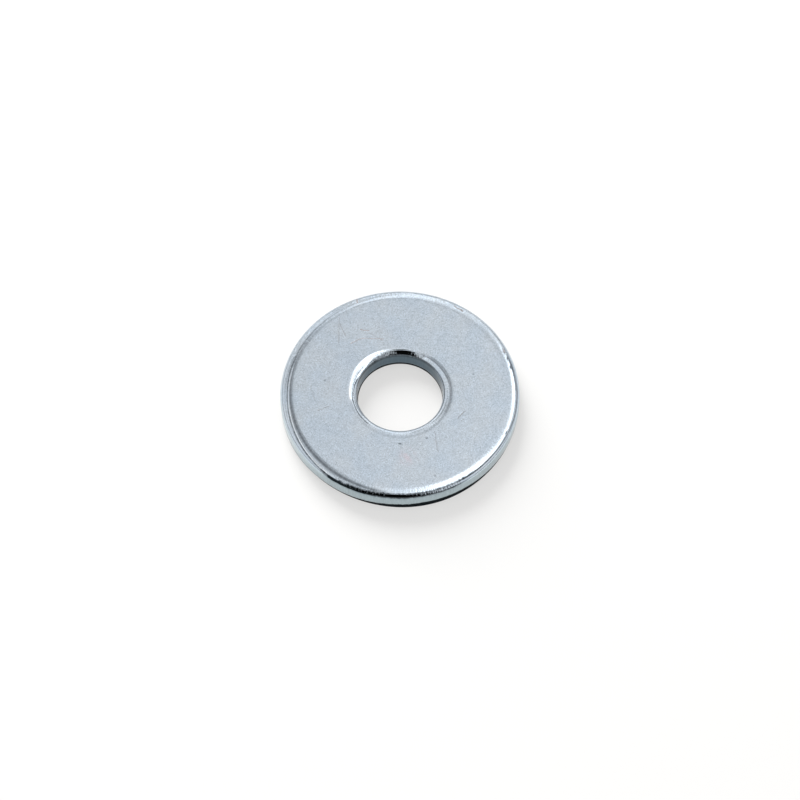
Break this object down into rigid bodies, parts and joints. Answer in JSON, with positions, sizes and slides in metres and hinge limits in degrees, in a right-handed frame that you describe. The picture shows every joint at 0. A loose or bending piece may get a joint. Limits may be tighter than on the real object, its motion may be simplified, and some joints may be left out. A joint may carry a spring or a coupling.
{
  "type": "flat washer",
  "caption": "Flat steel ring with a round bolt hole, punched from sheet, for spreading the load under a bolt head or nut.",
  "frame": {"origin": "centre of the bolt hole, in the plane of the underside (the face away from the rolled edges)", "axes": "+Z along the hole's axis, from the underside towards the face with the rolled edges; the ring is round, so X and Y are free"},
  "size_m": [0.0238, 0.0238, 0.002],
  "materials": {
    "zinc_plated_steel": "bright zinc plate with a clear blue passivate, satin on the faces"
  },
  "bodies": {
    "root": {"washer": "zinc_plated_steel"}
  },
  "joints": []
}
